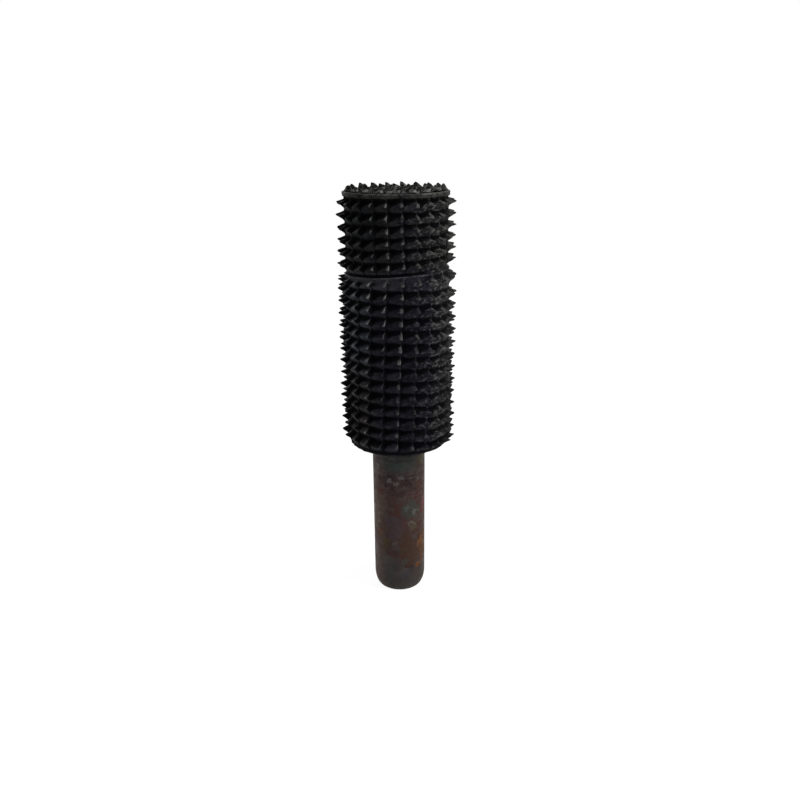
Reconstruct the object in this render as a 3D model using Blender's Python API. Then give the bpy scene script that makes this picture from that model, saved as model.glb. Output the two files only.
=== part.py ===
"""Cylindrical rasp bit: a head covered in raised teeth and a plain round shank, one piece of steel.

The axis is Z. The flat end of the shank stands on z = 0 and the toothed end is at the top.
The front faces -Y. Angles are measured round the axis from the front towards +X.
"""

import math
from dataclasses import dataclass

import bmesh
import bpy

MM = 0.001

# Shank
SHANK_DIAMETER = 6.0 * MM
SHANK_LENGTH = 18.5 * MM
SHANK_END_FLAT_DIAMETER = 4.4 * MM
SHANK_END_ROUNDING = 1.9 * MM
NECK_FILLET = 0.4 * MM

# Head, from its underside to its flat end
HEAD_LENGTH = 27.3 * MM
SHOULDER_DIAMETER = 10.9 * MM
SHOULDER_ROUNDING_ACROSS = 0.76 * MM
SHOULDER_ROUNDING_ALONG = 0.45 * MM
SHOULDER_STEP = 0.12 * MM
RIM_DIAMETER = 11.05 * MM
RIM_HEIGHT = 0.55 * MM
RIM_EDGE = 0.12 * MM

# The groove where the upper and the lower cutting pass meet
SEAM_BELOW_END = 7.8 * MM
SEAM_WIDTH = 0.4 * MM
SEAM_FLOOR_WIDTH = 0.14 * MM
SEAM_DEPTH = 0.2 * MM
SEAM_TILT = 0.3 * MM

# Upper pass of teeth
UPPER_TOOTH_COUNT = 23
UPPER_ROWS = 6
UPPER_ROOT_DIAMETER = 10.8 * MM
UPPER_TIP_DIAMETER = 12.5 * MM
UPPER_FIRST_ANGLE = math.radians(5.8)
UPPER_LEAN_PER_ROW = math.radians(0.3)
UPPER_STAGGER = 0.06
UPPER_ROW_TILT = 0.0

# Lower pass of teeth
LOWER_TOOTH_COUNT = 21
LOWER_ROWS = 14
LOWER_ROOT_DIAMETER = 11.1 * MM
LOWER_TIP_DIAMETER = 12.8 * MM
LOWER_FIRST_ANGLE = math.radians(6.4)
LOWER_LEAN_PER_ROW = math.radians(-0.6)
LOWER_STAGGER = 0.08
LOWER_ROW_TILT = 0.42

# Form of one tooth, as shares of its cell: across runs round the head, along runs down it.
# The tip stands at the left of its cell. Right of it lie a pocket and the ramp up to the next tip.
POCKET_SHARE_ACROSS = 0.15
RAMP_SHARE_ACROSS = 0.58
FLANK_TOP_SHARE = 0.16
TIP_SHARE = 0.42
FLANK_FOOT_SHARE = 0.86
POCKET_DROP_SHARE = 0.14
RIDGE_DROP_SHARE = 0.27
FOOT_DROP_SHARE = 0.04
RAMP_RISE_SHARE = 0.45
RAMP_FOOT_RISE = 0.1 * MM
POCKET_DEPTH = 0.22 * MM
TOOTH_HEIGHT_SPREAD = 0.14

# Teeth on the flat end, in rings from the rim inwards
END_RINGS = 4
END_RING_INSET = 0.62 * MM
END_RING_STEP = 1.42 * MM
END_TOOTH_SPACING = 1.62 * MM
END_TOOTH_HEIGHT = 0.64 * MM
END_TOOTH_SIDES = 5
END_TOOTH_RADIUS = 0.6 * MM
END_TOOTH_LEAN = 0.3 * MM
END_TOOTH_SINK = 0.3 * MM
END_HEIGHT_SPREAD = 0.18

CURVE_STEPS = 5
MERGE_DISTANCE = 0.001 * MM
SHARP_ANGLE = math.radians(32.0)

# Heights that follow from the sizes above
SHOULDER_TOP = SHANK_LENGTH + SHOULDER_ROUNDING_ALONG
END_HEIGHT = SHANK_LENGTH + HEAD_LENGTH
RIM_BOTTOM = END_HEIGHT - RIM_HEIGHT
SEAM_HEIGHT = END_HEIGHT - SEAM_BELOW_END
SEAM_FLOOR_RADIUS = UPPER_ROOT_DIAMETER / 2 - SEAM_DEPTH

# A tooth cell holds this many mesh points across and along
ACROSS_POINT_COUNT = 3
ALONG_POINT_COUNT = 3


@dataclass
class Pass:
    """One cutting pass: rows of teeth between two heights, which may differ round the head."""

    tooth_count: int
    rows: int
    root_radius: float
    tip_radius: float
    first_angle: float
    lean_per_row: float
    stagger: float
    row_tilt: float
    top: object
    bottom: object
    seed: int


def clear_scene():
    for item in list(bpy.data.objects):
        bpy.data.objects.remove(item, do_unlink=True)


def new_collection(name):
    collection = bpy.data.collections.new(name)
    bpy.context.scene.collection.children.link(collection)
    return collection


def steel(name):
    material = bpy.data.materials.new(name)
    material.use_nodes = True
    shader = material.node_tree.nodes["Principled BSDF"]
    shader.inputs["Base Color"].default_value = (0.055, 0.052, 0.05, 1.0)
    shader.inputs["Metallic"].default_value = 1.0
    shader.inputs["Roughness"].default_value = 0.5
    material.diffuse_color = (0.2, 0.19, 0.18, 1.0)
    return material


def object_of(name, mesh, collection, material):
    bmesh.ops.recalc_face_normals(mesh, faces=mesh.faces)
    data = bpy.data.meshes.new(name)
    mesh.to_mesh(data)
    mesh.free()
    data.materials.append(material)
    item = bpy.data.objects.new(name, data)
    collection.objects.link(item)
    return item


def scatter(column, row, seed):
    """The same value from -1 to 1 each time for one tooth, which stands for the hand of the cutter."""
    value = math.sin(12.9898 * column + 78.233 * row + 37.719 * seed) * 43758.5453
    return 2.0 * (value - math.floor(value)) - 1.0


def on_axis(angle, radius, height):
    return (radius * math.sin(angle), -radius * math.cos(angle), height)


def angle_of(point):
    return math.atan2(point.x, -point.y)


def seam_height(angle, offset):
    return SEAM_HEIGHT + SEAM_TILT * math.sin(angle) + offset


def tooth_point(cut, step_round, step_down):
    """Where one mesh point of a pass lies, from its count of steps round the head and down it."""
    column, across_part = divmod(step_round, ACROSS_POINT_COUNT)
    row, along_part = divmod(step_down, ALONG_POINT_COUNT)
    column = column % cut.tooth_count
    across = (0.0, POCKET_SHARE_ACROSS, RAMP_SHARE_ACROSS)[across_part]
    to_go = (1.0 - across) / (1.0 - POCKET_SHARE_ACROSS) if across_part else 0.0

    # The ends of the pass stay straight, so whatever moves or sinks a line fades out there.
    last_step = cut.rows * ALONG_POINT_COUNT
    fade = min(1.0, step_down / ALONG_POINT_COUNT, (last_step - step_down) / ALONG_POINT_COUNT)
    along = (
        fade * (FLANK_TOP_SHARE + POCKET_DROP_SHARE * to_go),
        TIP_SHARE + RIDGE_DROP_SHARE * to_go,
        FLANK_FOOT_SHARE + FOOT_DROP_SHARE * to_go,
    )[along_part]

    around = (column + across) * 2.0 * math.pi / cut.tooth_count + cut.first_angle
    shift = cut.stagger * scatter(column, 0, cut.seed) + cut.row_tilt * math.sin(around)
    down = (row + along + fade * shift) / cut.rows
    angle = around + cut.lean_per_row * down * cut.rows
    height = cut.top(angle) + (cut.bottom(angle) - cut.top(angle)) * down

    tooth = cut.tip_radius - cut.root_radius
    tooth = tooth * (1.0 + TOOTH_HEIGHT_SPREAD * (scatter(column, row + 1, cut.seed) - 1.0) / 2.0)
    crest_rise = (tooth, RAMP_FOOT_RISE, RAMP_RISE_SHARE * tooth)[across_part]
    rise = (-fade * POCKET_DEPTH * to_go, crest_rise, 0.0)[along_part]
    return on_axis(angle, cut.root_radius + rise, height)


def add_pass(mesh, cut):
    """Wraps a flat grid round the head as one toothed sleeve, open at its top and bottom."""
    steps_round = cut.tooth_count * ACROSS_POINT_COUNT
    steps_down = cut.rows * ALONG_POINT_COUNT
    made = bmesh.ops.create_grid(mesh, x_segments=steps_round, y_segments=steps_down, size=0.5)
    points = made["verts"]
    for point in points:
        step_round = round((point.co.x + 0.5) * steps_round)
        step_down = round((0.5 - point.co.y) * steps_down)
        point.co = tooth_point(cut, step_round % steps_round, step_down)
    bmesh.ops.remove_doubles(mesh, verts=points, dist=MERGE_DISTANCE)


def open_loops(mesh):
    """The open edge loops of the mesh, from the highest to the lowest."""
    waiting = {edge for edge in mesh.edges if edge.is_boundary}
    loops = []
    while waiting:
        loop = [waiting.pop()]
        ends = set(loop[0].verts)
        grew = True
        while grew:
            joined = [edge for edge in waiting if ends & set(edge.verts)]
            grew = bool(joined)
            for edge in joined:
                waiting.discard(edge)
                loop.append(edge)
                ends |= set(edge.verts)
        loops.append(loop)
    return sorted(loops, key=mean_height, reverse=True)


def mean_height(loop):
    return sum(edge.verts[0].co.z + edge.verts[1].co.z for edge in loop) / (2.0 * len(loop))


def turn_ring(mesh, loop, radius, height):
    """Carries an open loop on to a new ring. The height is a length or a function of the angle."""
    made = bmesh.ops.extrude_edge_only(mesh, edges=loop)["geom"]
    for item in made:
        if isinstance(item, bmesh.types.BMVert):
            angle = angle_of(item.co)
            level = height(angle) if callable(height) else height
            item.co = on_axis(angle, radius, level)
    return [item for item in made if isinstance(item, bmesh.types.BMEdge) and item.is_boundary]


def turn_curve(mesh, loop, centre_radius, centre_height, across, along, start, end):
    """Carries a loop along a quarter curve in equal steps of its angle."""
    for step in range(1, CURVE_STEPS + 1):
        bend = start + (end - start) * step / CURVE_STEPS
        radius = centre_radius + across * math.cos(bend)
        height = centre_height + along * math.sin(bend)
        loop = turn_ring(mesh, loop, radius, height)
    return loop


def close_flat(mesh, loop):
    bmesh.ops.edgeloop_fill(mesh, edges=loop)


def add_seam(mesh, upper_edge, lower_edge):
    """The narrow groove between the passes, whose two sides have different counts of points."""
    half_floor = SEAM_FLOOR_WIDTH / 2
    upper_side = turn_ring(mesh, upper_edge, SEAM_FLOOR_RADIUS, lambda angle: seam_height(angle, half_floor))
    lower_side = turn_ring(mesh, lower_edge, SEAM_FLOOR_RADIUS, lambda angle: seam_height(angle, -half_floor))
    bmesh.ops.bridge_loops(mesh, edges=upper_side + lower_side)


def add_rim(mesh, loop):
    """The plain band round the toothed end, and the flat end itself."""
    rim_radius = RIM_DIAMETER / 2
    loop = turn_ring(mesh, loop, rim_radius, RIM_BOTTOM + RIM_EDGE)
    loop = turn_ring(mesh, loop, rim_radius, END_HEIGHT - RIM_EDGE)
    loop = turn_ring(mesh, loop, rim_radius - RIM_EDGE, END_HEIGHT)
    close_flat(mesh, loop)


def add_shoulder_and_shank(mesh, loop):
    shoulder_flat_radius = SHOULDER_DIAMETER / 2 - SHOULDER_ROUNDING_ACROSS
    shank_radius = SHANK_DIAMETER / 2
    end_rounding_across = (SHANK_DIAMETER - SHANK_END_FLAT_DIAMETER) / 2
    quarter = math.pi / 2
    loop = turn_ring(mesh, loop, SHOULDER_DIAMETER / 2, SHOULDER_TOP)
    loop = turn_curve(
        mesh,
        loop,
        shoulder_flat_radius,
        SHOULDER_TOP,
        SHOULDER_ROUNDING_ACROSS,
        SHOULDER_ROUNDING_ALONG,
        0.0,
        -quarter,
    )
    loop = turn_ring(mesh, loop, shank_radius + NECK_FILLET, SHANK_LENGTH)
    loop = turn_curve(
        mesh,
        loop,
        shank_radius + NECK_FILLET,
        SHANK_LENGTH - NECK_FILLET,
        NECK_FILLET,
        NECK_FILLET,
        quarter,
        2.0 * quarter,
    )
    loop = turn_ring(mesh, loop, shank_radius, SHANK_END_ROUNDING)
    loop = turn_curve(
        mesh,
        loop,
        SHANK_END_FLAT_DIAMETER / 2,
        SHANK_END_ROUNDING,
        end_rounding_across,
        SHANK_END_ROUNDING,
        0.0,
        -quarter,
    )
    close_flat(mesh, loop)


def add_end_tooth(mesh, radius, angle, height):
    """One thorn on the flat end: a cone with its foot sunk in the head and its tip pushed round it."""
    made = bmesh.ops.create_cone(
        mesh,
        cap_ends=True,
        segments=END_TOOTH_SIDES,
        radius1=END_TOOTH_RADIUS,
        radius2=0.0,
        depth=height + END_TOOTH_SINK,
    )
    centre_x, centre_y, _ = on_axis(angle, radius, 0.0)
    for point in made["verts"]:
        lean = END_TOOTH_LEAN if point.co.z > 0.0 else 0.0
        point.co.z += END_HEIGHT + (height - END_TOOTH_SINK) / 2
        point.co.x += centre_x + lean * math.cos(angle)
        point.co.y += centre_y + lean * math.sin(angle)


def end_teeth(collection, material):
    """All thorns of the flat end as one helper, which the head is joined with."""
    mesh = bmesh.new()
    for ring in range(END_RINGS):
        radius = RIM_DIAMETER / 2 - END_RING_INSET - ring * END_RING_STEP
        count = max(2, round(2.0 * math.pi * radius / END_TOOTH_SPACING))
        for place in range(count):
            angle = 2.0 * math.pi * (place + 0.5 * (ring % 2)) / count
            height = END_TOOTH_HEIGHT * (1.0 + END_HEIGHT_SPREAD * (scatter(place, ring, 5) - 1.0) / 2.0)
            add_end_tooth(mesh, radius, angle, height)
    helper = object_of("end_teeth_helper", mesh, collection, material)
    helper.hide_render = True
    helper.display_type = "WIRE"
    return helper


def rasp_bit(collection, helper, material):
    upper = Pass(
        tooth_count=UPPER_TOOTH_COUNT,
        rows=UPPER_ROWS,
        root_radius=UPPER_ROOT_DIAMETER / 2,
        tip_radius=UPPER_TIP_DIAMETER / 2,
        first_angle=UPPER_FIRST_ANGLE,
        lean_per_row=UPPER_LEAN_PER_ROW,
        stagger=UPPER_STAGGER,
        row_tilt=UPPER_ROW_TILT,
        top=lambda angle: RIM_BOTTOM,
        bottom=lambda angle: seam_height(angle, SEAM_WIDTH / 2),
        seed=1,
    )
    lower = Pass(
        tooth_count=LOWER_TOOTH_COUNT,
        rows=LOWER_ROWS,
        root_radius=LOWER_ROOT_DIAMETER / 2,
        tip_radius=LOWER_TIP_DIAMETER / 2,
        first_angle=LOWER_FIRST_ANGLE,
        lean_per_row=LOWER_LEAN_PER_ROW,
        stagger=LOWER_STAGGER,
        row_tilt=LOWER_ROW_TILT,
        top=lambda angle: seam_height(angle, -SEAM_WIDTH / 2),
        bottom=lambda angle: SHOULDER_TOP + SHOULDER_STEP,
        seed=2,
    )
    mesh = bmesh.new()
    add_pass(mesh, upper)
    add_pass(mesh, lower)
    rim_edge, upper_edge, lower_edge, shoulder_edge = open_loops(mesh)
    add_seam(mesh, upper_edge, lower_edge)
    add_rim(mesh, rim_edge)
    add_shoulder_and_shank(mesh, shoulder_edge)
    item = object_of("rasp_bit", mesh, collection, material)
    join = item.modifiers.new("end_teeth", "BOOLEAN")
    join.operation = "UNION"
    join.solver = "EXACT"
    join.object = helper
    item.data.shade_smooth()
    item.data.set_sharp_from_angle(angle=SHARP_ANGLE)
    return item


def main():
    clear_scene()
    parts = new_collection("Rasp bit")
    helpers = new_collection("Helpers")
    helpers.hide_render = True
    material = steel("hardened_steel")
    helper = end_teeth(helpers, material)
    rasp_bit(parts, helper, material)


main()
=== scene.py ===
"""The looks of the cylindrical rasp bit: one fine mesh with its own steel, a floor, light and the camera.

Lengths in the mesh code are millimetres. The tooth tips lie where the frame's solid has them, to within 0.1 mm.
Angles are measured round the axis from the front (-Y) towards +X.
"""

import math

import bpy
import numpy as np
from mathutils import Matrix, Vector, noise


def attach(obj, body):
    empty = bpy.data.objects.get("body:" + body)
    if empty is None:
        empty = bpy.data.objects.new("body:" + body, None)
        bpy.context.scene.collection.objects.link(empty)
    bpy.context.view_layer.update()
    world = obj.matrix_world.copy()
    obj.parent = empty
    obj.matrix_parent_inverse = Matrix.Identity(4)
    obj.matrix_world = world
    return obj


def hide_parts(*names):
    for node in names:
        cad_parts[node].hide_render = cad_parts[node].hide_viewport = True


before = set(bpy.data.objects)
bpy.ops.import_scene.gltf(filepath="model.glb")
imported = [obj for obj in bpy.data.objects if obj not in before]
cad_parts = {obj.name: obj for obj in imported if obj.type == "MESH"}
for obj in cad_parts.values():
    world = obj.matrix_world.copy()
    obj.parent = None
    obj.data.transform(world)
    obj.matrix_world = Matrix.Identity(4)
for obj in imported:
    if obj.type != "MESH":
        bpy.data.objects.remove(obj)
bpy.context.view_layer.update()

MM = 0.001

# Sizes shared with the solid
SHANK_RADIUS = 3.0
SHANK_LENGTH = 18.5
SHANK_END_FLAT_RADIUS = 2.2
SHANK_END_ROUNDING = 1.9
NECK_FILLET = 0.4
SHOULDER_RADIUS = 5.45
SHOULDER_ACROSS = 0.76
SHOULDER_ALONG = 0.45
RIM_RADIUS = 5.525
END_HEIGHT = 45.8
RIM_BOTTOM = 45.25
RIM_EDGE = 0.12
SEAM_HEIGHT = 38.0
SEAM_HALF = 0.2
SEAM_TILT = 0.3
SEAM_FLOOR_RADIUS = 5.2
TEETH_BOTTOM = SHANK_LENGTH + SHOULDER_ALONG + 0.12

# Form of one tooth, as shares of its cell: a face up to POCKET across, then the pocket and the ramp to the next tip.
# The flank begins, peaks and ends at these shares of the way down, and lower where the ramp has far to go.
POCKET = 0.15
FLANK_TOP = 0.16
TIP = 0.42
FLANK_FOOT = 0.86
POCKET_DROP = 0.14
RIDGE_DROP = 0.27
FOOT_DROP = 0.04
CELL_LINES = (0.0, FLANK_TOP, TIP, FLANK_FOOT, 1.0)
HEIGHT_SPREAD = 0.14
RAMP_FOOT = 0.1
POCKET_DEPTH = 0.34
GROOVE_DEPTH = 0.09

# Thorns of the flat end, in rings from the rim inwards, with smaller ones between the outer rings
END_RINGS = 4
END_RING_INSET = 0.62
END_RING_STEP = 1.42
END_THORN_SPACING = 1.62
END_THORN_HEIGHT = 0.64
END_HEIGHT_SPREAD = 0.18
SMALL_THORN_HEIGHT = 0.34
SMALL_THORN_SPREAD = 0.1
SMALL_THORN_INSET = 0.7
THORN_SIDES = 9
THORN_LEVELS = 8
THORN_SINK = 0.3
THORN_LEAN = 0.3
THORN_FOOT = 0.66

BUMP_DEPTH = 0.06

# Where the fine mesh has its lines in one tooth cell, across it and down it
ACROSS = np.array([0, 0.03, 0.06, 0.1, 0.15, 0.21, 0.29, 0.38, 0.48, 0.59, 0.7, 0.81, 0.92])
ALONG = np.array([0, 0.08, 0.16, 0.25, 0.34, 0.39, 0.42, 0.46, 0.54, 0.64, 0.75, 0.86, 0.93])


def scatter(column, row, seed):
    """A fixed value from -1 to 1 for each place, which looks random."""
    value = np.sin(12.9898 * column + 78.233 * row + 37.719 * seed) * 43758.5453
    return 2.0 * (value - np.floor(value)) - 1.0


def seam_height(angle, offset):
    """The height of the seam, which stands a little higher on the right."""
    return SEAM_HEIGHT + SEAM_TILT * np.sin(angle) + offset


def smooth(value):
    value = np.clip(value, 0.0, 1.0)
    return value * value * (3.0 - 2.0 * value)


def to_right(angle):
    """0 for the front, the back and the left, 1 on the right."""
    return smooth((np.sin(angle) - 0.39) / 0.25)


class Ring:
    """One ring of mesh points: angles, radii and heights, how much wear with a painted highlight the steel shows, and
    how much painted shade it has.
    """

    def __init__(self, angle, radius, height, bare_and_highlight=0.0, painted_shade=0.0):
        self.angle = angle
        self.radius = np.broadcast_to(radius, angle.shape).astype(float)
        self.height = np.broadcast_to(height, angle.shape).astype(float)
        self.bare_and_highlight = np.broadcast_to(bare_and_highlight, angle.shape).astype(float)
        self.painted_shade = np.broadcast_to(painted_shade, angle.shape).astype(float)


def blend(first, second, share):
    return first + (second - first) * share


def row_end_share(base):
    """How far the first and the last row are from the level end of their pass, at this share of the way down."""
    return np.interp(base, [0, TIP, FLANK_FOOT, 1], [0, 1 / 3, 2 / 3, 1])


def band(teeth, rows, root, tip, first, lean, stagger, row_tilt, top, bottom, seed, open_top):
    """The rings of one cutting pass, from its top to its bottom. An open top has no groove above its first row.

    The angles first and lean are in degrees, stagger and row_tilt in rows, and top and bottom give heights.
    """
    column, part = np.divmod(np.arange(teeth * len(ACROSS)), len(ACROSS))
    across = ACROSS[part]
    on_face = across < POCKET
    face = np.clip(across / POCKET, 0.0, 1.0)
    climb = np.clip((across - POCKET) / (1.0 - POCKET), 0.0, 1.0)
    beside = np.where(across < 0.5, across / 0.05, (1.0 - across) / 0.15)
    tip_line = np.exp(-((np.where(across < 0.5, across, across - 1.0) / 0.1) ** 2))
    to_go = (1.0 - climb) * smooth(face)
    drops = (0.0, POCKET_DROP, RIDGE_DROP, FOOT_DROP, 0.0)
    lines = np.stack([line + drop * to_go for line, drop in zip(CELL_LINES, drops)])
    around = (column + across) * 2.0 * math.pi / teeth + math.radians(first)
    shift = stagger * scatter(column, 0, seed) + row_tilt * np.sin(around)
    rings = []
    for step in range(rows * len(ALONG) + 1):
        row, line = divmod(step, len(ALONG))
        base = ALONG[line]

        # Where the ring runs: level at both ends of the pass, and with the teeth in between
        fade = 1.0
        if row == 0:
            fade = row_end_share(base)
        if row >= rows - 1:
            fade = 1.0 - row_end_share(base + (row - rows + 1))
        zone = max(0, min(3, int(np.searchsorted(CELL_LINES, base, "right")) - 1))
        share = (base - CELL_LINES[zone]) / (CELL_LINES[zone + 1] - CELL_LINES[zone])
        along = blend(lines[zone], lines[zone + 1], share)
        down = (row + along + fade * shift) / rows
        angle = around + math.radians(lean) * down * rows
        height = top(angle) + (bottom(angle) - top(angle)) * down

        # How far it rises: the tooth's own thorn on its face, the ramp to the next tip, the pocket and the groove
        full = tip - root
        own = full * (1.0 + HEIGHT_SPREAD * (scatter(column, row + 1, seed) - 1.0) / 2.0)
        after = full * (1.0 + HEIGHT_SPREAD * (scatter((column + 1) % teeth, row + 1, seed) - 1.0) / 2.0)
        ridge = RAMP_FOOT + (after - RAMP_FOOT) * climb ** 1.3
        pit = POCKET_DEPTH * to_go ** 0.8 * (0.85 if open_top and row == 0 else 1.0)
        if zone == 0:
            thorn, body, sunk = 0.0, 0.0, float(smooth(share))
        elif zone == 1:
            thorn = float(np.interp(share, [0, 0.35, 0.69, 0.885, 1], [0, 0.3, 0.82, 0.98, 1]))
            body = share ** blend(2.2, 1.25, climb)
            sunk = 1.0 - share ** 1.6
        elif zone == 2:
            thorn = float(np.interp(share, [0, 0.09, 0.27, 0.5, 0.75, 1], [1, 0.98, 0.82, 0.45, 0.15, 0]))
            body = (1.0 - share) ** blend(0.5, 1.2, climb)
            sunk = 0.0
        else:
            thorn, body, sunk = 0.0, 0.0, 0.0
        between = float(np.interp(base, [0, 0.08, 0.16, 0.25, 0.86, 0.93, 1], [0.8, 1, 0.7, 0, 0, 0.25, 0.8]))
        between *= 1.0 - open_top * (row == 0 and base < 0.5)
        groove = GROOVE_DEPTH * between * (1.0 - 0.6 * tip_line)
        ramp = ridge * body - pit * sunk
        rise = blend(ramp, own * thorn, np.where(on_face, (1.0 - face) ** 1.1, 0.0)) - groove

        # Wear with a painted highlight: an oval round each tip, and a little painted highlight on the crest of the
        # ramp and at its foot
        odd, own_odd = scatter(column, row + 40, seed), scatter(column, row + 80, seed)
        oval = np.hypot(beside, (base - TIP - 0.02 * own_odd) / (0.25 + 0.04 * odd))
        ridge_line = 0.22 * max(0.0, 1.0 - 9.0 * abs(base - TIP)) * climb
        foot_line = 0.2 * max(0.0, 1.0 - 12.0 * abs(base - 0.84)) * (1.0 - 0.6 * climb)
        sheen = np.maximum(np.maximum(ridge_line, foot_line), 0.07 + 0.07 * own_odd)
        wear_and_highlight = 0.85 + 0.15 * odd - 0.2 * float(smooth((row - 5) / 5.0))
        bare_and_highlight = np.maximum(wear_and_highlight * smooth((1.15 - oval) / 0.5), sheen)

        # Painted shade: a wedge of shadow above each ramp, on the left only the pocket itself, and the groove between
        # the rows
        slant = blend(0.62, 0.2, climb) + 0.06 * odd
        wedge = smooth((slant - along) / 0.14 + 0.5) * smooth(across / 0.06) * smooth((along - 0.02) / 0.06)
        if open_top and row == 0:
            wedge = wedge * blend(0.5, 1.0, to_right(angle))
        below = 1.0 - 0.35 * float(smooth((base - TIP) / 0.3))
        scoop = np.interp(across, [0, 0.03, 0.07, 0.16, 0.26], [0, 0.3, 1, 0.6, 0])
        to_left = smooth((-np.arctan2(np.sin(angle), np.cos(angle)) - 0.5) / 0.35)
        pocket = np.maximum(scoop, sunk * to_go ** 0.5)
        painted_shade = blend(np.maximum(wedge, scoop * below), pocket, to_left)
        painted_shade = np.clip(painted_shade + 0.9 * between * (1.0 - 0.5 * tip_line), 0.0, 1.0)
        if open_top and row == 0:
            painted_shade = painted_shade * (blend(0.2, 0.7, to_right(angle)) if base < 0.2 else 1.0)
        rings.append(Ring(angle, root + rise, height, bare_and_highlight, painted_shade))
    return rings


def curve(angle, centre_radius, centre_height, across, along, start, end, steps):
    """Rings along a rounding, without the one at its start."""
    bends = np.linspace(start, end, steps + 1)[1:]
    return [
        Ring(angle, centre_radius + across * math.cos(bend), centre_height + along * math.sin(bend))
        for bend in bends
    ]


def join_rings(faces, first, second, upper, lower):
    """Faces between two rings. Where their counts differ, the next point in angle order is taken."""
    count_a, count_b = len(upper.angle), len(lower.angle)
    if count_a == count_b:
        for place in range(count_a):
            after = (place + 1) % count_a
            faces.append((first + place, second + place, second + after, first + after))
        return
    start = int(np.argmin(np.abs(np.angle(np.exp(1j * (lower.angle - upper.angle[0]))))))
    turn_a = np.concatenate([upper.angle, upper.angle[:1] + 2 * math.pi]) - upper.angle[0]
    turn_b = np.roll(lower.angle, -start)
    turn_b = np.unwrap(np.concatenate([turn_b, turn_b[:1]])) - turn_b[0]
    place_a = place_b = 0
    while place_a < count_a or place_b < count_b:
        here_a = first + place_a % count_a
        here_b = second + (start + place_b) % count_b
        step_a = turn_a[place_a + 1] if place_a < count_a else 99.0
        step_b = turn_b[place_b + 1] if place_b < count_b else 99.0
        if step_a <= step_b:
            faces.append((here_a, here_b, first + (place_a + 1) % count_a))
            place_a += 1
        else:
            faces.append((here_a, here_b, second + (start + place_b + 1) % count_b))
            place_b += 1


def all_rings():
    """All rings from the middle of the flat end to the foot of the shank, and how many of them are on the head."""
    upper = band(
        teeth=23, rows=6, root=5.4, tip=6.25, first=5.8, lean=0.3, stagger=0.06, row_tilt=0.0,
        top=lambda angle: RIM_BOTTOM + 0 * angle, bottom=lambda angle: seam_height(angle, SEAM_HALF),
        seed=1, open_top=False,
    )
    lower = band(
        teeth=21, rows=14, root=5.55, tip=6.4, first=6.4, lean=-0.6, stagger=0.08, row_tilt=0.42,
        top=lambda angle: seam_height(angle, -SEAM_HALF), bottom=lambda angle: TEETH_BOTTOM + 0 * angle,
        seed=2, open_top=True,
    )
    over = upper[0].angle
    under = lower[-1].angle

    # The flat end, in painted shade between its thorns, and its rim, with a painted highlight along its edge and
    # painted shade at its foot
    rings = [Ring(over, radius, END_HEIGHT, 0.0, 0.7) for radius in np.linspace(0.3, RIM_RADIUS - 0.25, 12)]
    for radius, height, bare_and_highlight, painted_shade in (
        (RIM_RADIUS - RIM_EDGE, END_HEIGHT, 0.3, 0.0),
        (RIM_RADIUS - 0.03, END_HEIGHT - 0.04, 0.5, 0.0),
        (RIM_RADIUS, END_HEIGHT - RIM_EDGE, 0.4, 0.0),
        (RIM_RADIUS, END_HEIGHT - 0.3, 0.1, 0.1),
        (RIM_RADIUS, RIM_BOTTOM + RIM_EDGE, 0.0, 0.5),
    ):
        rings.append(Ring(over, radius, height, bare_and_highlight, painted_shade))
    rings += upper

    # The groove of the seam in painted shade, and the painted highlight on the line below it, which both fade towards
    # the right
    turn = upper[-1].angle
    rings.append(Ring(turn, SEAM_FLOOR_RADIUS, seam_height(turn, 0.07), 0.0, 1.0 - 0.6 * to_right(turn)))
    turn = lower[0].angle
    fade = to_right(turn)
    rings.append(Ring(turn, SEAM_FLOOR_RADIUS, seam_height(turn, -0.07), 0.0, 1.0 - 0.6 * fade))
    rings.append(Ring(turn, 5.5, seam_height(turn, -0.12), 0.6 - 0.5 * fade, 0.1 + 0.3 * fade))
    rings += lower

    # The shoulder and the underside of the head, with painted shade where the shoulder starts
    rings.append(Ring(under, SHOULDER_RADIUS, SHANK_LENGTH + SHOULDER_ALONG, 0.0, 0.8))
    quarter = math.pi / 2
    rings += curve(under, SHOULDER_RADIUS - SHOULDER_ACROSS, SHANK_LENGTH + SHOULDER_ALONG,
                   SHOULDER_ACROSS, SHOULDER_ALONG, 0.0, -quarter, 5)
    neck = SHANK_RADIUS + NECK_FILLET
    rings.append(Ring(under, (neck + SHOULDER_RADIUS - SHOULDER_ACROSS) / 2, SHANK_LENGTH))
    rings.append(Ring(under, neck, SHANK_LENGTH))
    head_rings = len(rings)

    # The fillet, the shank and its rounded end
    rings += curve(under, neck, SHANK_LENGTH - NECK_FILLET, NECK_FILLET, NECK_FILLET, quarter, 2 * quarter, 4)
    for height in np.linspace(SHANK_LENGTH - NECK_FILLET - 0.5, SHANK_END_ROUNDING, 18):
        rings.append(Ring(under, SHANK_RADIUS, height))
    rings += curve(under, SHANK_END_FLAT_RADIUS, SHANK_END_ROUNDING, SHANK_RADIUS - SHANK_END_FLAT_RADIUS,
                   SHANK_END_ROUNDING, 0.0, -quarter, 7)
    rings.append(Ring(under, 1.1, 0.0))
    return rings, head_rings


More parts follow.
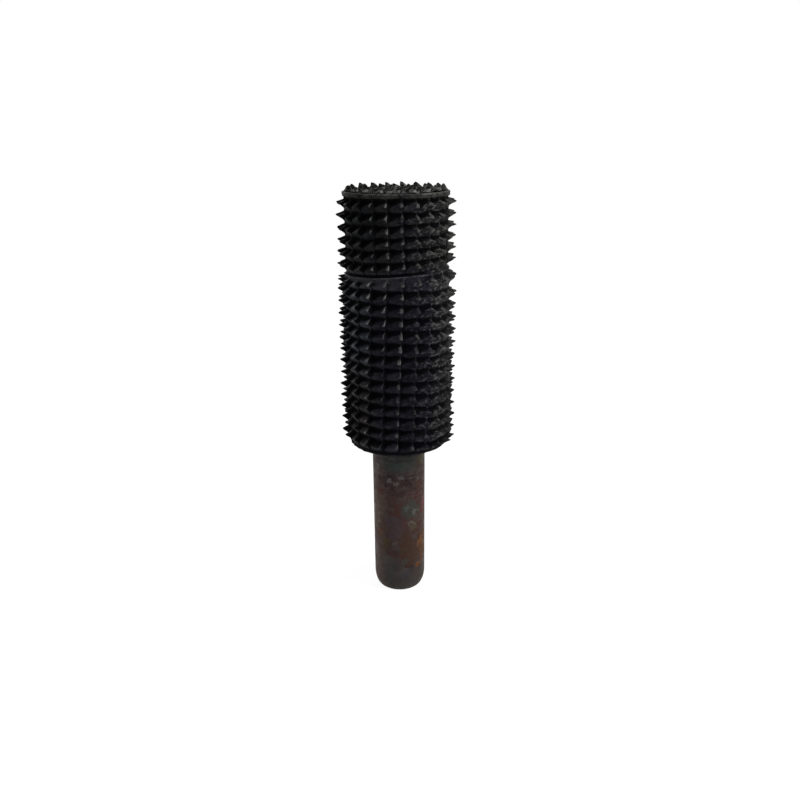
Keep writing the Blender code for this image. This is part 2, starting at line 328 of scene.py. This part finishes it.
def roughen(points, rings, starts, head_rings):
    """Give the steel a small unevenness. The ends of the passes keep their heights, and the foot stays flat."""
    for number, ring in enumerate(rings):
        on_head = number < head_rings
        for place in range(len(ring.angle)):
            spot = points[starts[number] + place]
            seed = Vector(spot)
            if on_head:
                push = 0.03 * noise.noise(seed * 1.3) + 0.04 * noise.noise(seed * 3.1)
                push += 0.12 * noise.noise(seed * 1.7) * float(smooth((TEETH_BOTTOM + 0.1 - spot[2]) / 0.3))
            else:
                push = 0.012 * noise.noise(seed * 0.6) + 0.006 * noise.noise(seed * 2.9)
            if spot[2] > END_HEIGHT - 0.01:
                pit = abs(noise.noise(seed * 1.1)) + 0.5 * abs(noise.noise(seed * 2.7))
                spot[2] -= 0.16 * pit * float(smooth((RIM_RADIUS - 0.2 - ring.radius[place]) / 0.5))
            elif spot[2] > 0.05:
                shift = push / max(1.0, float(ring.radius[place]))
                inner = min(RIM_BOTTOM - spot[2], spot[2] - TEETH_BOTTOM, abs(spot[2] - SEAM_HEIGHT) - 0.6)
                sway = 0.014 * noise.noise(seed * 0.9) * float(smooth(inner))
                spot[0], spot[1] = spot[0] * (1.0 + shift) - spot[1] * sway, spot[1] * (1.0 + shift) + spot[0] * sway
                spot[2] += 0.16 * noise.noise(seed * 0.8 + Vector((9.0, 3.0, 5.0))) * float(smooth(inner))


def add_thorn(points, faces, marks, radius, angle, height, seed):
    """One leaning thorn of the flat end, a closed shell with its foot sunk in the head."""
    first = len(points)
    outward = np.array([math.sin(angle), -math.cos(angle)])
    onward = np.array([math.cos(angle), math.sin(angle)])
    dark = 0.7 + 0.3 * float(scatter(seed, 3, 13))
    light = 0.7 + 0.25 * float(scatter(seed, 5, 17))
    for level in range(THORN_LEVELS):
        share = level / THORN_LEVELS
        wide = THORN_FOOT * (1.0 - share) ** 0.6
        shift = THORN_LEAN * share ** 1.6
        rise = -THORN_SINK + (height + THORN_SINK) * share
        for side in range(THORN_SIDES):
            bend = 2.0 * math.pi * side / THORN_SIDES
            grain = 1.0 + 0.14 * float(scatter(side + 3 * level, seed, 7)) * (1.0 - 0.6 * share)
            ahead = wide * grain * math.cos(bend) * (0.62 if math.cos(bend) > 0 else 1.15)
            aside = wide * grain * math.sin(bend) * 0.85
            flat = outward * (radius + aside) + onward * (ahead + shift)
            points.append([flat[0], flat[1], END_HEIGHT + rise])
            # Painted highlight in a band round the thorn, and painted shade at its foot and on its tip
            glint = light * float(np.interp(share, [0.36, 0.48, 0.74, 0.84], [0.0, 1.0, 0.9, 0.0]))
            marks.append((glint, float(np.interp(share, [0.34, 0.46, 0.68, 0.82], [1.0, 0.1, 0.1, dark]))))
    tip = outward * radius + onward * THORN_LEAN
    points.append([tip[0], tip[1], END_HEIGHT + height])
    marks.append((0.0, dark))
    top = len(points) - 1
    for level in range(THORN_LEVELS - 1):
        low = first + level * THORN_SIDES
        high = low + THORN_SIDES
        for side in range(THORN_SIDES):
            after = (side + 1) % THORN_SIDES
            faces.append((low + after, low + side, high + side, high + after))
    last = first + (THORN_LEVELS - 1) * THORN_SIDES
    for side in range(THORN_SIDES):
        faces.append((last + (side + 1) % THORN_SIDES, last + side, top))
    faces.append(tuple(first + side for side in range(THORN_SIDES)))


def rasp_mesh():
    """The whole bit as one mesh, with values for wear with painted highlight and for painted shade on its points, and
    the shank in slot 1.
    """
    rings, head_rings = all_rings()
    points, starts, marks, faces = [], [], [], []
    for ring in rings:
        starts.append(len(points))
        columns = (ring.radius * np.sin(ring.angle), -ring.radius * np.cos(ring.angle), ring.height)
        points += np.stack(columns, axis=1).tolist()
        marks += list(zip(ring.bare_and_highlight.tolist(), ring.painted_shade.tolist()))
    roughen(points, rings, starts, head_rings)
    for number in range(len(rings) - 1):
        join_rings(faces, starts[number], starts[number + 1], rings[number], rings[number + 1])
        if number + 1 == head_rings:
            head_faces = len(faces)
    shank_faces = len(faces)

    # The middle of the flat end and of the foot
    points.append([0.0, 0.0, END_HEIGHT])
    marks.append((0.3, 0.3))
    count = len(rings[0].angle)
    for place in range(count):
        faces.append((len(points) - 1, place, (place + 1) % count))
    count = len(rings[-1].angle)
    points.append([0.0, 0.0, 0.0])
    marks.append((0.0, 0.0))
    foot_first = len(faces)
    for place in range(count):
        faces.append((len(points) - 1, starts[-1] + (place + 1) % count, starts[-1] + place))
    foot_last = len(faces)

    for ring in range(END_RINGS):
        radius = RIM_RADIUS - END_RING_INSET - ring * END_RING_STEP
        thorns = max(2, round(2.0 * math.pi * radius / END_THORN_SPACING))
        for place in range(thorns):
            angle = 2.0 * math.pi * (place + 0.5 * (ring % 2)) / thorns
            height = END_THORN_HEIGHT * (1.0 + END_HEIGHT_SPREAD * (float(scatter(place, ring, 5)) - 1.0) / 2.0)
            add_thorn(points, faces, marks, radius, angle, height, ring * 31 + place)
            if ring < END_RINGS - 1:
                between = angle + math.pi / thorns + 0.1 * float(scatter(place, ring, 9))
                small = SMALL_THORN_HEIGHT + SMALL_THORN_SPREAD * float(scatter(place, ring, 11))
                add_thorn(points, faces, marks, radius - SMALL_THORN_INSET, between, small, ring * 17 + place)

    data = bpy.data.meshes.new("rasp_bit_visual")
    data.from_pydata((np.array(points) * MM).tolist(), [], faces)
    data.update()
    slots = np.zeros(len(faces), dtype=np.int32)
    slots[head_faces:shank_faces] = 1
    slots[foot_first:foot_last] = 1
    data.polygons.foreach_set("material_index", slots)
    for name, part in (("bare_and_highlight", 0), ("painted_shade", 1)):
        layer = data.attributes.new(name, "FLOAT", "POINT")
        layer.data.foreach_set("value", np.array([mark[part] for mark in marks], dtype=np.float32))
    data.shade_smooth()
    data.set_sharp_from_angle(angle=math.radians(40))
    return data


class Nodes:
    """Short ways to lay out a material's nodes."""

    def __init__(self, name):
        self.material = bpy.data.materials.new(name)
        self.material.use_nodes = True
        self.tree = self.material.node_tree
        self.shader = self.tree.nodes["Principled BSDF"]
        place = self.new("ShaderNodeTexCoord").outputs["Object"]
        self.place = self.vector("SCALE", place, scale=1000.0)
        parts = self.new("ShaderNodeSeparateXYZ")
        self.put(parts.inputs[0], self.place)
        self.side, self.level = parts.outputs["X"], parts.outputs["Z"]

    def new(self, kind, **settings):
        node = self.tree.nodes.new(kind)
        for key, value in settings.items():
            setattr(node, key, value)
        return node

    def put(self, socket, value):
        if isinstance(value, bpy.types.NodeSocket):
            self.tree.links.new(value, socket)
        else:
            socket.default_value = value

    def vector(self, operation, first, second=None, scale=None):
        node = self.new("ShaderNodeVectorMath", operation=operation)
        self.put(node.inputs[0], first)
        if second is not None:
            self.put(node.inputs[1], second)
        if scale is not None:
            self.put(node.inputs["Scale"], scale)
        return node.outputs["Value" if operation == "LENGTH" else "Vector"]

    def math(self, operation, first, second=0.0, clamp=False):
        node = self.new("ShaderNodeMath", operation=operation, use_clamp=clamp)
        self.put(node.inputs[0], first)
        self.put(node.inputs[1], second)
        return node.outputs[0]

    def noise(self, scale, detail=3.0, roughness=0.55, stretch=(1.0, 1.0, 1.0), offset=0.0):
        """Grey noise in the object's own space, where a scale of 1 has patches of about a millimetre."""
        place = self.vector("MULTIPLY", self.place, stretch)
        place = self.vector("ADD", place, (offset, offset * 0.7, offset * 1.3))
        node = self.new("ShaderNodeTexNoise")
        self.put(node.inputs["Vector"], place)
        self.put(node.inputs["Scale"], scale)
        self.put(node.inputs["Detail"], detail)
        self.put(node.inputs["Roughness"], roughness)
        return node.outputs["Fac"]

    def noise_colour(self, scale):
        node = self.new("ShaderNodeTexNoise")
        self.put(node.inputs["Vector"], self.place)
        self.put(node.inputs["Scale"], scale)
        self.put(node.inputs["Detail"], 3.0)
        return node.outputs["Color"]

    def spread(self, value, low, high, to_low=0.0, to_high=1.0):
        """A smooth step from to_low to to_high while value goes from low to high."""
        node = self.new("ShaderNodeMapRange", interpolation_type="SMOOTHSTEP")
        self.put(node.inputs["Value"], value)
        for key, number in (("From Min", low), ("From Max", high), ("To Min", to_low), ("To Max", to_high)):
            self.put(node.inputs[key], number)
        return node.outputs["Result"]

    def mix(self, share, first, second, blend="MIX"):
        node = self.new("ShaderNodeMix", data_type="RGBA", blend_type=blend)
        self.put(node.inputs["Factor"], share)
        self.put(node.inputs[6], first)
        self.put(node.inputs[7], second)
        return node.outputs[2]

    def zone(self, left=None, right=None, low=None, high=None, most=1.0, soft=0.4, soft_level=0.4):
        """A share that is most inside a box across (X) and up (Z), in mm, and fades over soft at its edges."""
        share = most
        for value, limit, way in (
            (self.side, left, soft), (self.side, right, -soft),
            (self.level, low, soft_level), (self.level, high, -soft_level),
        ):
            if limit is not None:
                share = self.math("MULTIPLY", self.spread(value, limit - way, limit + way), share)
        return share

    def attribute(self, name):
        return self.new("ShaderNodeAttribute", attribute_name=name).outputs["Fac"]

    def bump(self, height, strength):
        node = self.new("ShaderNodeBump")
        self.put(node.inputs["Strength"], strength)
        self.put(node.inputs["Distance"], BUMP_DEPTH * MM)
        self.put(node.inputs["Height"], height)
        self.put(self.shader.inputs["Normal"], node.outputs["Normal"])


def colour(red, green, blue):
    """A screen colour of 0 to 255 as the linear values that a shader takes."""
    def linear(value):
        value = value / 255.0
        return value / 12.92 if value <= 0.04045 else ((value + 0.055) / 1.055) ** 2.4
    return (linear(red), linear(green), linear(blue), 1.0)


# Where the tips' wear and painted highlight are dimmer: left, right, low and high edge in mm, and by how much
DIMMER_HIGHLIGHTS = (
    (None, -1.2, 38.6, 45.0, 0.45),
    (1.6, 3.9, None, 36.4, 0.4),
    (-3.2, -1.0, None, 32.4, 0.55),
    (3.9, None, None, 28.0, 0.3),
)


def head_material():
    """Dark scaled steel, blacker with painted shade in the mesh's hollows and paler where it shows wear and a painted
    highlight.
    """
    made = Nodes("toothed_head_steel")
    shader = made.shader
    bare_and_highlight = made.attribute("bare_and_highlight")
    painted_shade = made.attribute("painted_shade")
    broad = made.noise(0.9, 4.0)
    fine = made.noise(4.2, 4.0, 0.7)

    # The scale: bluish, and on the left below the seam paler, which is painted light, and lower down warmer; neutral
    # on the right and above it
    skin = made.mix(made.spread(broad, 0.35, 0.68), colour(25, 25, 30), colour(41, 41, 47))
    tint_and_light = made.mix(made.spread(made.level, 25.0, 30.0), colour(56, 51, 50), colour(60, 64, 71))
    left_low = made.zone(right=-3.0, high=37.8, soft=1.0)
    skin = made.mix(made.math("MULTIPLY", left_low, made.spread(broad, 0.3, 0.65, 0.2, 0.85)), skin, tint_and_light)
    skin = made.mix(made.spread(fine, 0.48, 0.32, 0.0, 0.8), skin, colour(12, 12, 15))
    skin = made.mix(made.zone(left=3.5), skin, (1.0, 1.0, 0.9, 1.0), "MULTIPLY")
    for limits in ({"right": -0.1, "soft": 0.7}, {"left": 1.95}):
        skin = made.mix(made.zone(low=38.5, soft_level=0.3, **limits), skin, (0.97, 0.98, 0.83, 1.0), "MULTIPLY")

    # Pale specks, mostly on the right, where they are painted light on the lit side
    specks = made.spread(made.noise(2.5, 3.0, 0.6, offset=17.0), 0.5, 0.64)
    flecks_and_light = made.math("MULTIPLY", specks, made.spread(made.side, -0.5, 4.0, 0.15, 0.95))
    skin = made.mix(flecks_and_light, skin, colour(88, 88, 86))

    # Painted shade in the middle and the upper left, a violet cast in the middle, and a pale first row under the seam
    middle = made.zone(left=0.0, right=3.3, high=35.2, most=0.4, soft=0.8, soft_level=2.2)
    skin = made.mix(middle, skin, colour(10, 9, 14))
    skin = made.mix(made.zone(left=-1.9, right=3.5, high=38.3), skin, (0.96, 0.93, 1.06, 1.0), "MULTIPLY")
    skin = made.mix(made.zone(right=-1.6, low=41.0, most=0.5, soft=1.0, soft_level=1.5), skin, colour(7, 11, 12))
    first_row = made.zone(right=0.1, low=36.55, high=38.2, most=0.45, soft=0.7, soft_level=0.3)
    skin = made.mix(first_row, skin, colour(66, 65, 68))

    # Blotched rim and flat end
    end = made.zone(low=RIM_BOTTOM, most=0.9, soft_level=0.12)
    streaks = made.noise(1.2, 3.0, 0.6, stretch=(0.5, 0.5, 4.0), offset=11.0)
    blotches = made.spread(made.math("ADD", made.noise(1.6, 4.0, 0.65, offset=3.0), streaks), 0.84, 1.16)
    end_skin = made.mix(blotches, colour(3, 3, 3), colour(50, 50, 47))
    skin = made.mix(end, skin, end_skin)

    # Painted shade: black in the hollows with frayed edges, and dark on the shoulder under the head
    shoulder_shade = made.spread(made.level, 20.4, 18.9, 0.0, 0.55)
    painted_shade = made.math("ADD", painted_shade, shoulder_shade, clamp=True)
    frayed = made.math("ADD", painted_shade, made.spread(fine, 0.3, 0.7, -0.25, 0.25))
    skin = made.mix(made.spread(frayed, 0.15, 0.85, 0.0, 0.95), skin, colour(3, 3, 5))

    # Wear with a painted highlight on the tips
    wear_and_highlight = made.math("MULTIPLY", bare_and_highlight, made.spread(made.noise(2.1, 3.0, 0.6, offset=7.0), 0.3, 0.62, 0.2, 1.0))
    for left, right, low, high, share in DIMMER_HIGHLIGHTS:
        dimmer_zone = made.zone(left, right, low, high, share, soft=0.6)
        wear_and_highlight = made.math("MULTIPLY", wear_and_highlight, made.math("SUBTRACT", 1.0, dimmer_zone))
    pitted = made.spread(made.noise(2.6, 3.0, 0.6, offset=13.0), 0.52, 0.44)
    above = made.math("MULTIPLY", pitted, made.zone(low=END_HEIGHT + 0.07, most=0.5, soft_level=0.05))
    wear_and_highlight = made.math("SUBTRACT", wear_and_highlight, above, clamp=True)
    skin = made.mix(made.spread(wear_and_highlight, 0.15, 0.9, 0.0, 0.9), skin, colour(112, 112, 110))

    # Painted shade, darker towards both sides
    skin = made.mix(made.zone(left=4.8, most=0.5, soft=0.8), skin, colour(15, 15, 14))
    skin = made.mix(made.zone(left=5.75, most=0.6), skin, colour(8, 8, 8))
    skin = made.mix(made.zone(right=-5.75, most=0.75), skin, colour(5, 5, 6))

    made.put(shader.inputs["Base Color"], skin)
    made.put(shader.inputs["Metallic"], made.spread(wear_and_highlight, 0.2, 0.9, 0.0, 0.5))
    gloss = made.spread(fine, 0.3, 0.7, 0.62, 0.42)
    made.put(shader.inputs["Roughness"], made.math("ADD", gloss, made.math("MULTIPLY", painted_shade, 0.35), clamp=True))
    shader.inputs["Specular IOR Level"].default_value = 0.04
    grain = made.math("ADD", made.noise(6.0, 4.0, 0.7), made.math("MULTIPLY", fine, 0.8))
    made.bump(grain, 0.5)
    return made.material


# Stains on the shank, with a painted shadow under the head and painted reflections on the left edge among them: x, z
# and the half width and half height in mm, colour and strength
STAINS_AND_PAINTED_LIGHT = (
    (0.5, 14.4, 2.6, 1.5, (38, 29, 29), 0.55),
    (2.75, 14.2, 0.6, 2.2, (54, 37, 35), 0.7),
    (0.0, 17.2, 3.4, 1.7, (42, 44, 43), 0.85),
    (-0.3, 16.4, 1.2, 0.5, (42, 52, 49), 0.6),
    (-2.5, 16.2, 0.45, 0.5, (82, 90, 90), 0.8),
    (2.5, 16.8, 0.35, 0.8, (66, 66, 44), 0.6),
    (2.1, 16.2, 0.6, 0.6, (44, 32, 26), 0.6),
    # Painted shadow: a dark band just under the head
    (0.2, 18.4, 2.6, 0.3, (16, 16, 18), 0.9),
    (-2.3, 14.4, 0.45, 0.6, (34, 18, 20), 0.8),
    (0.9, 14.5, 0.6, 0.6, (34, 22, 22), 0.85),
    (-0.9, 15.0, 0.5, 0.3, (36, 24, 24), 0.8),
    (-2.0, 13.3, 0.6, 0.3, (56, 26, 22), 0.7),
    (2.2, 13.9, 0.5, 0.6, (58, 38, 32), 0.6),
    (-1.2, 14.6, 0.3, 0.35, (84, 76, 76), 0.8),
    (-0.3, 14.2, 0.5, 0.25, (80, 72, 70), 0.7),
    (0.3, 15.1, 0.4, 0.2, (78, 74, 74), 0.6),
    (-0.3, 12.9, 1.6, 0.3, (42, 28, 28), 0.7),
    (-2.0, 11.3, 0.8, 1.4, (70, 55, 51), 0.7),
    (2.72, 11.2, 0.28, 1.3, (88, 42, 48), 0.8),
    (2.1, 12.6, 0.35, 0.35, (62, 24, 30), 0.8),
    (1.3, 10.9, 1.1, 1.3, (48, 51, 46), 0.75),
    (1.7, 10.6, 0.4, 0.5, (78, 80, 76), 0.8),
    (0.9, 11.3, 0.3, 0.3, (70, 76, 72), 0.6),
    (-0.8, 8.6, 1.2, 1.8, (58, 47, 51), 0.7),
    # Painted reflection: the next three tall pale stripes along the left edge
    (-2.7, 10.4, 0.6, 2.6, (88, 77, 72), 0.8),
    (-2.7, 15.6, 0.4, 1.6, (74, 72, 70), 0.6),
    (-2.6, 4.8, 0.4, 2.6, (72, 66, 64), 0.7),
    (1.4, 9.1, 0.35, 0.35, (86, 78, 68), 0.8),
    (1.6, 8.5, 0.3, 0.3, (70, 64, 40), 0.6),
    (-1.7, 8.5, 0.6, 0.6, (62, 44, 35), 0.7),
    (-2.2, 7.7, 0.25, 0.5, (78, 54, 38), 0.7),
    (-1.6, 6.6, 0.5, 0.6, (59, 53, 29), 0.75),
    (1.1, 5.8, 1.2, 2.6, (57, 39, 30), 0.9),
    (2.6, 5.8, 0.5, 2.6, (72, 47, 27), 0.9),
    (2.5, 6.4, 0.25, 0.6, (98, 66, 30), 0.8),
    (-0.4, 6.7, 0.45, 0.4, (74, 66, 64), 0.7),
    (-0.4, 5.5, 0.5, 0.4, (46, 38, 36), 0.7),
    (-1.4, 3.4, 1.4, 1.8, (56, 54, 51), 0.8),
    (0.0, 0.9, 3.2, 1.5, (50, 48, 46), 0.8),
    (-1.7, 4.4, 0.8, 0.7, (61, 60, 55), 0.6),
    (-0.4, 3.6, 0.5, 0.8, (44, 41, 40), 0.6),
    (0.8, 2.2, 0.6, 0.6, (48, 45, 52), 0.6),
    (1.5, 1.9, 0.5, 0.5, (57, 50, 42), 0.5),
    # Painted shadow: the next line is a dark band under the head
    (-0.2, 17.9, 2.3, 0.2, (31, 32, 35), 0.75),
    (0.3, 17.1, 1.8, 0.16, (33, 34, 35), 0.7),
    (-1.0, 17.5, 1.2, 0.14, (62, 62, 60), 0.6),
    (0.5, 4.1, 0.4, 0.5, (52, 54, 49), 0.7),
    (1.2, 3.4, 0.35, 0.25, (42, 22, 16), 0.9),
    (2.2, 3.4, 0.3, 0.3, (92, 56, 22), 0.9),
)


def shank_material():
    """Rusty uncoated steel with stains, scratches across it and specks, a painted shadow under the head and painted
    reflection on its left edge.
    """
    made = Nodes("rusty_shank_steel")
    shader = made.shader
    broad = made.noise(0.55, 4.0, 0.6)
    mottle = made.noise(1.5, 5.0, 0.62, offset=5.0)
    skin = made.mix(made.spread(broad, 0.35, 0.65), colour(48, 42, 41), colour(60, 53, 51))
    rust = made.math("MULTIPLY", made.zone(low=4.2, high=14.4, soft_level=1.0), made.spread(mottle, 0.36, 0.58))
    skin = made.mix(made.math("MULTIPLY", rust, 0.9), skin, colour(58, 36, 33))

    # The stains' edges wander, so that none is a plain oval
    bent = made.place
    for size, reach in ((1.3, 1.5), (5.0, 0.9)):
        wander = made.vector("SUBTRACT", made.noise_colour(size), (0.5, 0.5, 0.5))
        bent = made.vector("ADD", bent, made.vector("SCALE", wander, scale=reach))
    for across, level, wide, tall, shade, strength in STAINS_AND_PAINTED_LIGHT:
        depth = -math.sqrt(max(0.0, SHANK_RADIUS ** 2 - across ** 2))
        away = made.vector("SUBTRACT", bent, (across, depth, level))
        away = made.vector("MULTIPLY", away, (1.0 / wide, 1.0 / (wide + 0.8), 1.0 / tall))
        share = made.spread(made.vector("LENGTH", away), 1.1, 0.7, 0.0, strength)
        skin = made.mix(share, skin, colour(*shade))
    # Painted reflection: paler towards the left edge
    skin = made.mix(made.zone(right=-1.85, most=0.3, soft=0.55), skin, colour(92, 72, 64))
    skin = made.mix(made.zone(left=1.9), skin, (0.97, 0.88, 0.77, 1.0), "MULTIPLY")

    # Scratches round the shank, mostly near the head, and specks where the rust flakes
    scratches = made.noise(1.0, 3.0, 0.6, stretch=(0.35, 0.35, 7.0))
    scored = made.spread(made.level, 9.0, 13.0, 0.25, 1.0)
    light_line = made.math("MULTIPLY", made.spread(scratches, 0.55, 0.72, 0.0, 0.35), scored)
    skin = made.mix(light_line, skin, colour(84, 78, 75))
    dark_line = made.math("MULTIPLY", made.spread(scratches, 0.45, 0.3, 0.0, 0.6), scored)
    skin = made.mix(dark_line, skin, colour(30, 23, 23))
    specks = made.noise(2.0, 4.0, 0.65, offset=9.0)
    busy = made.math("ADD", 0.15, made.zone(low=13.1, high=15.8, most=0.8, soft_level=0.5))
    skin = made.mix(made.math("MULTIPLY", made.spread(specks, 0.47, 0.3), busy), skin, colour(26, 17, 18))
    skin = made.mix(made.math("MULTIPLY", made.spread(specks, 0.55, 0.72), busy), skin, colour(80, 72, 69))

    made.put(shader.inputs["Base Color"], skin)
    made.put(shader.inputs["Metallic"], made.spread(rust, 0.1, 0.7, 0.2, 0.0))
    made.put(shader.inputs["Roughness"], made.spread(mottle, 0.35, 0.65, 0.5, 0.7))
    shader.inputs["Specular IOR Level"].default_value = 0.1
    relief = made.math("ADD", mottle, made.math("MULTIPLY", specks, 0.5))
    relief = made.math("ADD", relief, made.math("MULTIPLY", scratches, 0.5))
    made.bump(relief, 0.35)
    return made.material


def add_floor():
    """A plain white floor. For the camera and for reflections it is mixed with plain white."""
    bpy.ops.mesh.primitive_plane_add(size=4.0)
    floor = bpy.context.object
    floor.name = "floor"
    material = bpy.data.materials.new("floor_white")
    material.use_nodes = True
    nodes, links = material.node_tree.nodes, material.node_tree.links
    shader = nodes["Principled BSDF"]
    shader.inputs["Base Color"].default_value = (0.86, 0.86, 0.86, 1.0)
    shader.inputs["Roughness"].default_value = 0.9
    shader.inputs["Specular IOR Level"].default_value = 0.1
    glow = nodes.new("ShaderNodeEmission")
    glow.inputs["Strength"].default_value = 1.15
    path = nodes.new("ShaderNodeLightPath")
    total = nodes.new("ShaderNodeMath")
    total.operation = "MAXIMUM"
    links.new(path.outputs["Is Camera Ray"], total.inputs[0])
    links.new(path.outputs["Is Glossy Ray"], total.inputs[1])
    share = nodes.new("ShaderNodeMath")
    share.operation = "MULTIPLY"
    links.new(total.outputs[0], share.inputs[0])
    share.inputs[1].default_value = 0.8
    mix = nodes.new("ShaderNodeMixShader")
    links.new(share.outputs[0], mix.inputs[0])
    links.new(shader.outputs[0], mix.inputs[1])
    links.new(glow.outputs[0], mix.inputs[2])
    links.new(mix.outputs[0], nodes["Material Output"].inputs["Surface"])
    floor.data.materials.append(material)


def add_light():
    """A plain studio: a soft key lamp on the right, a fill, a back lamp, and a world that the camera sees as white."""
    world = bpy.data.worlds.new("studio")
    bpy.context.scene.world = world
    world.use_nodes = True
    nodes, links = world.node_tree.nodes, world.node_tree.links
    sky = nodes["Background"]
    sky.inputs["Color"].default_value = (1.0, 1.0, 1.0, 1.0)
    path = nodes.new("ShaderNodeLightPath")
    seen = path.outputs["Is Camera Ray"]
    for name in ("Is Glossy Ray", "Is Transmission Ray"):
        both = nodes.new("ShaderNodeMath")
        both.operation = "MAXIMUM"
        links.new(seen, both.inputs[0])
        links.new(path.outputs[name], both.inputs[1])
        seen = both.outputs[0]
    level = nodes.new("ShaderNodeMapRange")
    links.new(seen, level.inputs["Value"])
    level.inputs["To Min"].default_value = 0.42
    level.inputs["To Max"].default_value = 1.0
    links.new(level.outputs["Result"], sky.inputs["Strength"])
    target = Vector((0.0, 0.0, 0.028))
    for name, place, size, energy in (
        ("key", (0.20, -0.09, 0.15), 0.07, 0.46),
        ("fill", (-0.18, -0.14, 0.08), 0.16, 0.03),
        ("back", (0.05, 0.2, 0.14), 0.14, 0.08),
    ):
        lamp = bpy.data.lights.new(name, "AREA")
        lamp.shape = "SQUARE"
        lamp.size = size
        lamp.energy = energy
        item = bpy.data.objects.new(name, lamp)
        item.location = place
        item.rotation_euler = (target - Vector(place)).to_track_quat("-Z", "Y").to_euler()
        bpy.context.scene.collection.objects.link(item)


def add_camera():
    """The camera as it was fitted to the photo: 22.5 degrees down and rolled a little."""
    data = bpy.data.cameras.new("camera")
    data.sensor_width = 36.0
    data.lens = 36.0
    data.shift_x = 1.2 / 800
    data.shift_y = 60.0 / 800
    data.clip_start = 0.001
    camera = bpy.data.objects.new("camera", data)
    pitch = math.radians(22.5)
    forward = Vector((0.0, math.cos(pitch), -math.sin(pitch)))
    right = Vector((1.0, 0.0, 0.0))
    turn = Matrix((right, right.cross(forward), -forward)).transposed()
    turn = turn @ Matrix.Rotation(math.radians(-0.6), 3, "Z")
    camera.matrix_world = Matrix.Translation((0.0, -0.08585, 0.05159)) @ turn.to_4x4()
    bpy.context.scene.collection.objects.link(camera)
    bpy.context.scene.camera = camera


rasp = bpy.data.objects.new("rasp_bit_visual", rasp_mesh())
bpy.context.scene.collection.objects.link(rasp)
rasp.data.materials.append(head_material())
rasp.data.materials.append(shank_material())
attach(rasp, "root")
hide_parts("rasp_bit")
add_floor()
add_light()
add_camera()
bpy.context.scene.view_settings.view_transform = "Standard"
bpy.context.view_layer.update()
